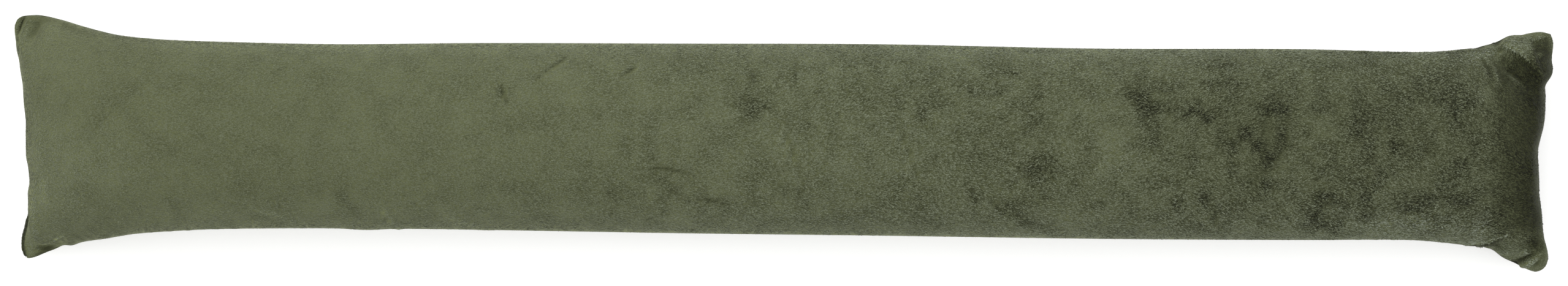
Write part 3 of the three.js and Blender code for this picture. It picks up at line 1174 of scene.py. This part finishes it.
class Value:
    """A shader socket that holds a number and can be used in arithmetic."""

    def __init__(self, network: "Network", socket: bpy.types.NodeSocket) -> None:
        """Keeps the socket and the network that it is in."""
        self.network = network
        self.socket = socket

    def _with(self, operation: str, first: Any, second: Any) -> "Value":
        """Adds a Math node."""
        node = self.network.add("ShaderNodeMath", {"operation": operation}, {0: first, 1: second})
        return Value(self.network, node.outputs[0])

    def __add__(self, other: Any) -> "Value":
        """This and another, added."""
        return self._with("ADD", self, other)

    def __radd__(self, other: Any) -> "Value":
        """Another and this, added."""
        return self._with("ADD", other, self)

    def __sub__(self, other: Any) -> "Value":
        """Another taken from this."""
        return self._with("SUBTRACT", self, other)

    def __rsub__(self, other: Any) -> "Value":
        """This taken from another."""
        return self._with("SUBTRACT", other, self)

    def __mul__(self, other: Any) -> "Value":
        """This times another."""
        return self._with("MULTIPLY", self, other)

    def __rmul__(self, other: Any) -> "Value":
        """Another times this."""
        return self._with("MULTIPLY", other, self)


class Network:
    """The node tree of one material, with methods that add and join its nodes."""

    def __init__(self, name: str) -> None:
        """Starts a material with nothing but its output."""
        self.material = bpy.data.materials.new(name)
        self.material.use_nodes = True
        self.tree = self.material.node_tree
        self.tree.nodes.clear()

    def add(
        self, kind: str, settings: dict[str, Any] | None = None, inputs: dict[Any, Any] | None = None
    ) -> bpy.types.Node:
        """Adds a node.

        Args:
            kind: The node's type.
            settings: Its settings, set before its sockets are fed.
            inputs: A number, a colour or a link for each socket that is named or numbered.

        Returns:
            The new node.
        """
        node = self.tree.nodes.new(kind)
        for name, setting in (settings or {}).items():
            setattr(node, name, setting)
        for name, source in (inputs or {}).items():
            if isinstance(source, Value):
                source = source.socket
            if isinstance(source, bpy.types.NodeSocket):
                self.tree.links.new(source, node.inputs[name])
            else:
                node.inputs[name].default_value = source
        return node

    def value(self, name: str) -> Value:
        """A number that the mesh carries."""
        return Value(self, self.add("ShaderNodeAttribute", {"attribute_name": name}).outputs["Fac"])

    def colour(self, name: str) -> bpy.types.NodeSocket:
        """A colour that the mesh carries."""
        return self.add("ShaderNodeAttribute", {"attribute_name": name}).outputs["Color"]

    def scaled(self, colour: Any, amount: Any) -> bpy.types.NodeSocket:
        """A colour made lighter or darker."""
        settings = {"operation": "SCALE"}
        return self.add("ShaderNodeVectorMath", settings, {0: colour, "Scale": amount}).outputs[0]

    def speckle(self, places: bpy.types.NodeSocket, size: tuple[float, float]) -> Value:
        """Noise over the cloth, whose grains have the given length and breadth in metres."""
        scale = (1 / size[0], 1 / size[1], 1.0)
        mapping = self.add("ShaderNodeMapping", None, {"Vector": places, "Scale": scale})
        settings = {"noise_dimensions": "3D"}
        inputs = {"Vector": mapping.outputs[0], "Scale": 1.0, "Detail": 2.0, "Roughness": 0.55}
        return Value(self, self.add("ShaderNodeTexNoise", settings, inputs).outputs[0])

    def finish(self, inputs: dict[str, Any]) -> bpy.types.Material:
        """Closes the network with a Principled shader and the output."""
        shader = self.add("ShaderNodeBsdfPrincipled", None, inputs)
        self.add("ShaderNodeOutputMaterial", None, {"Surface": shader.outputs[0]})
        return self.material


def ground_material(finish: PlushFinish) -> bpy.types.Material:
    """The plush between and under its tufts: short strokes along the nap, and their relief."""
    net = Network("plush_ground")
    places = net.colour("cloth")
    strokes = net.speckle(places, finish.strokes)
    grains = net.speckle(places, finish.grains)
    mottle = net.speckle(places, finish.clouds)
    height = strokes * 0.7 + grains * 0.3
    light = 0.80 + (strokes - 0.5) * 0.9 + (grains - 0.5) * 0.4 + (mottle - 0.5) * 0.2
    # The cloth's lightness, with its painted light and shade and the painted shadow between the
    # tufts
    light = light * net.value("tone")
    relief = {"Strength": 0.5, "Distance": finish.relief, "Height": height}
    bump = net.add("ShaderNodeBump", None, relief)
    colour = net.scaled(finish.ground, light)
    inputs = finish.shader_values() | {"Base Color": colour, "Normal": bump.outputs[0]}
    return net.finish(inputs)


def tuft_material(finish: PlushFinish) -> bpy.types.Material:
    """The tufts, each with the colour that it carries from its root to its tip, painted darker at
    the root.
    """
    net = Network("plush_tufts")
    return net.finish(finish.shader_values() | {"Base Color": net.colour("tuft")})


@dataclass(frozen=True)
class Fringe:
    """A stretch of an end seam where the back panel's pile peeps out, darkened by painted shade, in
    mm.

    Args:
        end: The end that it is at.
        low: Where it starts along Y.
        high: Where it ends.
        reach: How far the pile peeps out.
        shade: How light its painted shade leaves it beside the rest.
        crowd: How much denser its tufts stand.
        back_width: How broad it is on the back panel.
        front_width: The same on the front panel.
        soft: How gently it starts and ends.
    """

    end: End
    low: float
    high: float
    reach: float
    shade: float
    crowd: float
    back_width: float = 2.8
    front_width: float = 1.4
    soft: float = 6.0

    def strength(self, spots: Spots, panel_length: float) -> Numbers:
        """How strongly the stretch is felt at each point, from 0 to 1."""
        y = spots.places[:, 1] / MM
        to_end = panel_length / 2 - np.abs(spots.cloth[:, 0])
        width = np.where(spots.cloth[:, 2] < 0, self.back_width, self.front_width) * MM
        at_seam = fade(1 - to_end / width) * (spots.x * self.end.value > 0)
        ends = fade((y - self.low) / self.soft + 0.5) * fade((self.high - y) / self.soft + 0.5)
        return ends * at_seam


FRINGE = Fringe(End.LEFT, low=-71, high=-47, reach=1.5, shade=0.22, crowd=6.0)


@dataclass(frozen=True)
class Bed:
    """A lengthwise strip of a panel whose tufts make one piece, as shares of its width."""

    name: str
    panel: Panel
    low: float
    high: float
    tufts: int


BEDS = [
    Bed("pile_front_far", Panel.FRONT, 0.66, 1.1, 196_000),
    Bed("pile_front_middle", Panel.FRONT, 0.34, 0.66, 196_000),
    Bed("pile_front_near", Panel.FRONT, -0.1, 0.34, 196_000),
    Bed("pile_back_far", Panel.BACK, 0.5, 1.1, 136_000),
    Bed("pile_back_near", Panel.BACK, -0.1, 0.5, 136_000),
]


# The way that the nap runs where nothing turns it
LEVEL_NAP = np.array([1.0, 0.0, 1e-3])
# Where the pile gets longer towards the right end, in metres along X
SHAGGY_END = Ramp(0.40, 0.05)
# How much of the cloth the clumps reach over, along and across, in metres
CLUMPED = (1.0, 0.2)
# How much of a blade's turn, its clump's turn, its rise and its length a seam's hem leaves
HEM_TURN = Graded(1.0, -0.85)
HEM_CLUMP_TURN = Graded(1.0, -0.7)
HEM_RISE = Graded(1.0, -0.75)
HEM_LENGTH = Graded(1.0, -0.5)
# How much longer blades are that are ruffled, or at the shaggy end
LONGER = 0.3
# How rough ruffled pile still is where it is combed smooth
COMBED_ROUGHNESS = Graded(1.0, -0.6)
# The blades' rise, length and breadth at random, beside the usual one
RISES = (0.6, 1.5)
LENGTHS = (0.7, 1.25)
BREADTHS = (0.7, 1.3)
# The lightest that a clump and a blade may be, and the roughest that darkens a stroke
LIGHTEST_CLUMP = 1.0
LIGHTEST_BLADE = 0.9
ROUGHEST_STROKE = 0.9


@dataclass
class Pile:
    """The plush's tufts: single blades that lie along the nap in small clumps.

    Args:
        cover: The cover that they stand on.
        nap: How they lie.
        finish: Their colour.
        length: A blade's length in metres.
        breadth: Its breadth.
        lay: How far it stands up from the cloth, in degrees.
        clump: The distance between clumps.
        bald_below: The height under which the pile is pressed flat and left out.
        hem: How far from the seam the pile starts to lie flatter and shorter.
        seed: Where the random numbers start.
        own_turn: How far each blade turns from the nap, in degrees.
        clump_turn: How far a whole clump does.
        steepness: How steeply the blades stand, beside their lay.
        gather: How far their tips draw together.
        clump_glow: How much the clumps differ in lightness.
        own_glow: How much the blades do.
        dark_strokes: The share of blades that are dark strokes.
        dark_light: How light those are.
        light_strokes: The share of blades that are not light strokes.
        light_light: How light the light strokes are.
        mean_light: What keeps the pile's mean where the dark strokes darken it.
        roll: How far the blades roll about their length, in degrees.
        fanned: The share of blades that are broad at the tip.
        root_depth: How deep the roots are sunk, in metres.
        least_height: The least height of a blade over the floor.
    """

    cover: Cover
    nap: Nap
    finish: PlushFinish
    length: float = 0.0013
    breadth: float = 0.00047
    lay: float = 9.0
    clump: float = 0.0016
    bald_below: float = 0.0004
    hem: float = 0.006
    seed: int = 7
    quick_share: int = 6
    own_turn: Graded = Graded(6, 10)
    clump_turn: Graded = Graded(4, 9)
    steepness: Graded = Graded(0.7, 0.9)
    gather: Graded = Graded(0.04, 0.09)
    clump_glow: Graded = Graded(0.02, 0.13)
    own_glow: Graded = Graded(0.03, 0.26)
    dark_strokes: Graded = Graded(0.11, 0.36)
    dark_light: Graded = Graded(0.68, -0.66)
    light_strokes: Graded = Graded(0.90, -0.06)
    light_light: Graded = Graded(1.08, 0.06)
    mean_light: Graded = Graded(1, 0.25)
    roll: Graded = Graded(9, 26)
    fanned: float = 0.45
    root_depth: float = 0.0001
    least_height: float = 0.00005

    def build(self) -> list[bpy.types.Object]:
        """Makes the tufts, one piece for each bed.

        Returns:
            The pieces, front ones first.
        """
        mesh = self.cover.piece.data
        mesh.calc_loop_triangles()
        corners = read(mesh.loop_triangles, "vertices", 3).astype(int)
        spots = Spots.of(mesh)
        thirds = np.full(corners.shape, 1 / 3)
        middles = spots.mixed(corners, thirds)
        lowest = spots.places[corners][:, :, 2].max(1)
        material = tuft_material(self.finish)
        crowd = 1 + FRINGE.crowd * FRINGE.strength(middles, self.cover.panel_length)
        share = middles.cloth[:, 1] / self.cover.panel_width + 0.5
        made = []
        for number, bed in enumerate(BEDS):
            mine = (middles.cloth[:, 2] * bed.panel.value > 0) & (lowest > self.bald_below)
            mine &= (share >= bed.low) & (share < bed.high)
            count = bed.tufts // 1
            rng = np.random.default_rng(self.seed + number)
            roots = self._scatter(corners[mine], spots, crowd[mine], count, rng)
            blades, lights = self._grow(roots, rng)
            made.append(self._join(bed.name, blades, lights, material))
        return made

    @staticmethod
    def _scatter(
        corners: Points, spots: Spots, crowd: Numbers, count: int, rng: np.random.Generator
    ) -> Spots:
        """Drops roots evenly over the triangles.

        Args:
            corners: Each triangle's vertices.
            spots: The cover's vertices.
            crowd: How much denser than elsewhere the roots stand on each triangle.
            count: How many roots to drop.
            rng: The piece's random numbers.

        Returns:
            The roots.
        """
        first, second, third = (spots.places[corners[:, k]] for k in range(3))
        area = np.linalg.norm(np.cross(second - first, third - first), axis=1)
        reached = np.cumsum(area * crowd)
        face = np.searchsorted(reached, rng.random(count) * reached[-1])
        share = np.sort(rng.random((count, 2)), axis=1)
        weights = np.c_[share[:, 0], share[:, 1] - share[:, 0], 1 - share[:, 1]]
        return spots.mixed(corners[np.minimum(face, len(corners) - 1)], weights)

    def _grow(self, roots: Spots, rng: np.random.Generator) -> tuple[Points, Points]:
        """Shapes a blade at each root.

        Args:
            roots: Where the blades stand.
            rng: The piece's random numbers.

        Returns:
            The blades' corners, three each, and a lightness for each corner.
        """
        count = len(roots.places)
        normals = roots.normals
        ruffle = self.nap.ruffle(roots)
        pull, twist, glow = self._clump(roots.cloth, rng)
        hem = fade(1 - self.cover.edge_distance(roots.cloth) / self.hem)
        along = unit(LEVEL_NAP - normals * normals[:, :1])
        across = np.cross(normals, along)
        own_turn = np.radians(self.own_turn.at(ruffle)) * rng.normal(size=count)
        clump_turn = np.radians(self.clump_turn.at(ruffle)) * twist
        turn = self.nap.turn(roots) + own_turn * HEM_TURN.at(hem)
        turn += clump_turn * HEM_CLUMP_TURN.at(hem)
        rise = np.radians(self.lay * self.steepness.at(ruffle) * rng.uniform(*RISES, count))
        rise *= HEM_RISE.at(hem)
        flat = along * np.cos(turn)[:, None] + across * np.sin(turn)[:, None]
        lean = flat * np.cos(rise)[:, None] + normals * np.sin(rise)[:, None]
        growth = 1 + LONGER * (ruffle + SHAGGY_END.at(roots.x))
        length = self.length * growth * rng.uniform(*LENGTHS, count) * HEM_LENGTH.at(hem)
        gather = pull[:, :1] * along + pull[:, 1:] * across * np.sign(roots.cloth[:, 2:])
        tips = roots.places + lean * length[:, None] + gather * self.gather.at(ruffle)[:, None]
        rough = ruffle * COMBED_ROUGHNESS.at(self.nap.calm(roots))
        tone = self.nap.tone(roots, ruffle) * self._own_light(rough, glow, rng)
        peep = FRINGE.strength(roots, self.cover.panel_length)
        tips[:, 0] += FRINGE.end.value * FRINGE.reach * MM * peep
        # Painted shade on the pile that peeps out at the end seam
        tone *= 1 - peep * (1 - FRINGE.shade)
        roll = np.radians(self.roll.at(rough)) * rng.normal(size=count)
        spread = unit(np.cross(lean, normals))
        spread = spread * np.cos(roll)[:, None] + normals * np.sin(roll)[:, None]
        spread *= (self.breadth * rng.uniform(*BREADTHS, count))[:, None] / 2
        sunk = roots.places - normals * self.root_depth
        fanned = (rng.random(count) < self.fanned)[:, None]
        wide = np.where(fanned, tips, sunk)
        blades = np.stack([wide - spread, wide + spread, np.where(fanned, sunk, tips)], 1)
        blades[:, :, 2] = np.maximum(blades[:, :, 2], self.least_height)
        # Painted shade darkens each blade towards its root
        root = self.finish.root_painted_shade(rough)[:, None]
        wide_light = np.where(fanned, 1.0, root)
        lights = np.c_[wide_light, wide_light, np.where(fanned, root, 1.0)] * tone[:, None]
        return blades, lights

    def _own_light(self, rough: Numbers, glow: Numbers, rng: np.random.Generator) -> Numbers:
        """How much lighter or darker than the cloth's tone each blade is.

        Args:
            rough: How ruffled and how little combed the pile is.
            glow: The nature of each blade's clump.
            rng: The piece's random numbers.

        Returns:
            A factor for each blade.
        """
        count = len(rough)
        light = np.exp(self.clump_glow.at(rough) * np.minimum(glow, LIGHTEST_CLUMP))
        own = np.minimum(rng.normal(size=count), LIGHTEST_BLADE)
        light *= np.exp(self.own_glow.at(rough) * own)
        stroke = rng.random(count)
        dark = self.dark_light.at(np.minimum(rough, ROUGHEST_STROKE))
        light *= np.where(stroke < self.dark_strokes.at(rough), dark, 1.0)
        light *= np.where(stroke > self.light_strokes.at(rough), self.light_light.at(rough), 1.0)
        return light * self.mean_light.at(rough)

    def _clump(self, cloth: Points, rng: np.random.Generator) -> tuple[Points, Numbers, Numbers]:
        """Finds the clump that each root belongs to.

        Args:
            cloth: The roots' places on the panels.
            rng: The piece's random numbers.

        Returns:
            The way to the clump's middle, and the clump's own twist and lightness.
        """
        counts = tuple(int(reach / self.clump) for reach in CLUMPED)
        jitter = rng.uniform(0.0, 1.0, (*counts, 2))
        nature = rng.normal(size=(*counts, 2))
        grid = cloth[:, :2] / self.clump + np.array(counts) / 2
        home = np.floor(grid).astype(int)
        nearest = np.full(len(grid), np.inf)
        pull = np.zeros((len(grid), 2))
        own = np.zeros((len(grid), 2))
        for step_x in (-1, 0, 1):
            for step_y in (-1, 0, 1):
                cell = np.clip(home + (step_x, step_y), 0, np.array(counts) - 1)
                way = cell + jitter[cell[:, 0], cell[:, 1]] - grid
                distance = np.linalg.norm(way, axis=1)
                closer = distance < nearest
                nearest[closer] = distance[closer]
                pull[closer] = way[closer]
                own[closer] = nature[cell[closer, 0], cell[closer, 1]]
        return pull * self.clump, own[:, 0], own[:, 1]

    def _join(
        self, name: str, blades: Points, lights: Numbers, material: bpy.types.Material
    ) -> bpy.types.Object:
        """Joins blades into one mesh.

        Args:
            name: The piece's name.
            blades: Three corners for each blade.
            lights: The lightness of each corner.
            material: The tufts' material.

        Returns:
            The piece, each blade with its own place on the map for its colours.
        """
        count = len(blades)
        mesh = bpy.data.meshes.new(name)
        mesh.vertices.add(3 * count)
        mesh.vertices.foreach_set("co", blades.astype(np.float32).ravel())
        mesh.loops.add(3 * count)
        mesh.loops.foreach_set("vertex_index", np.arange(3 * count, dtype=np.int32))
        mesh.polygons.add(count)
        mesh.polygons.foreach_set("loop_start", np.arange(0, 3 * count, 3, dtype=np.int32))
        mesh.update(calc_edges=True)
        store(mesh, "tuft", "FLOAT_COLOR", self.finish.shades(lights))
        side = math.ceil(math.sqrt(count))
        cell = np.stack([np.arange(count) % side, np.arange(count) // side], -1)
        corner = np.array([[0.08, 0.08], [0.92, 0.08], [0.5, 0.92]])
        lay_out(mesh, (cell[:, None, :] + corner[None]) / side)
        mesh.materials.append(material)
        piece = bpy.data.objects.new(name, mesh)
        bpy.context.scene.collection.objects.link(piece)
        return piece


@dataclass
class Studio:
    """A plain pale floor, soft light and the camera straight above. Sizes are in metres.

    Args:
        floor_size: How wide the floor is.
        pale: The floor's colour.
        glow: How strongly the floor glows, as a light table does.
        dome: The strength of the even light from all round.
        picture_width: How much the picture's width spans at the height of the seam.
        seam_height: That height.
        looks_at: Where the middle of the picture lies on the cushion.
        roll: How far the camera is turned about its own axis, in degrees.
        lens: Its focal length in mm.
    """

    floor_size: float = 40.0
    pale: tuple[float, float, float] = (0.93, 0.93, 0.925)
    glow: float = 0.28
    dome: float = 1.05
    picture_width: float = 0.9174
    seam_height: float = 0.03
    looks_at: tuple[float, float] = (0.00065, 0.00038)
    roll: float = 0.549
    lens: float = 100.0

    def build(self) -> bpy.types.Object:
        """Sets the floor, the lights and the camera.

        Returns:
            The floor.
        """
        deselect_all()
        bpy.ops.mesh.primitive_plane_add(size=self.floor_size)
        floor = bpy.context.object
        floor.name = "floor"
        net = Network("pale_floor")
        floor.data.materials.append(
            net.finish({
                "Base Color": (*self.pale, 1.0),
                "Roughness": 0.9,
                "Specular IOR Level": 0.1,
                "Emission Color": (*self.pale, 1.0),
                "Emission Strength": self.glow,
            })
        )
        self._light("key", (-1.0, 1.6, 2.1), 0.9, 42.0)
        self._light("fill", (1.2, -1.4, 2.4), 2.4, 12.0)
        world = bpy.data.worlds.new("dome")
        world.use_nodes = True
        background = world.node_tree.nodes["Background"]
        background.inputs["Color"].default_value = (1.0, 1.0, 1.0, 1.0)
        background.inputs["Strength"].default_value = self.dome
        bpy.context.scene.world = world
        bpy.context.scene.view_settings.view_transform = "Standard"
        self._camera()
        return floor

    @staticmethod
    def _light(name: str, place: tuple[float, float, float], size: float, power: float) -> None:
        """Hangs a soft square light that faces the cushion."""
        data = bpy.data.lights.new(name, "AREA")
        data.size = size
        data.energy = power
        light = bpy.data.objects.new(name, data)
        bpy.context.scene.collection.objects.link(light)
        light.location = place
        light.rotation_euler = (-Vector(place)).to_track_quat("-Z", "Y").to_euler()
        light.visible_camera = False

    def _camera(self) -> None:
        """Hangs the camera above, at the height that frames the picture's width."""
        data = bpy.data.cameras.new("camera")
        data.lens = self.lens
        camera = bpy.data.objects.new("camera", data)
        bpy.context.scene.collection.objects.link(camera)
        distance = self.picture_width * self.lens / data.sensor_width
        camera.location = (*self.looks_at, self.seam_height + distance)
        camera.rotation_euler = (0.0, 0.0, math.radians(self.roll))
        data.clip_end = 100.0
        bpy.context.scene.camera = camera


# How much painted shadow darkens the cloth between the tufts below its pile, and at most
GROUND_SHADOW = Graded(0.08, 0.62)
DEEPEST_SHADOW = 0.6


def main() -> None:
    """Builds the cushion and its surroundings, and declares each piece."""
    logging.basicConfig(level=logging.INFO, format="%(message)s")
    studio = Studio()
    studio.build()
    cover = Cover(SeamOutline(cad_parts["cushion"]))
    piece = cover.build()
    finish = PlushFinish()
    piece.data.materials.append(ground_material(finish))
    nap = Nap(cover)
    spots = Spots.of(piece.data)
    ruffle = nap.ruffle(spots)
    # Painted shadow between the tufts, with the cloth's painted light and shade, goes into the
    # ground's colour
    shadow = np.minimum(GROUND_SHADOW.at(ruffle), DEEPEST_SHADOW)
    store(piece.data, "tone", "FLOAT", nap.tone(spots, ruffle) * (1 - shadow))
    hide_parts("cushion")
    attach(piece, "root")
    log.info("%s: %d faces", piece.name, len(piece.data.polygons))
    for tufts in Pile(cover, nap, finish).build():
        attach(tufts, "root")
        log.info("%s: %d tufts", tufts.name, len(tufts.data.polygons))
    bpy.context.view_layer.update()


if __name__ == "__main__":
    main()
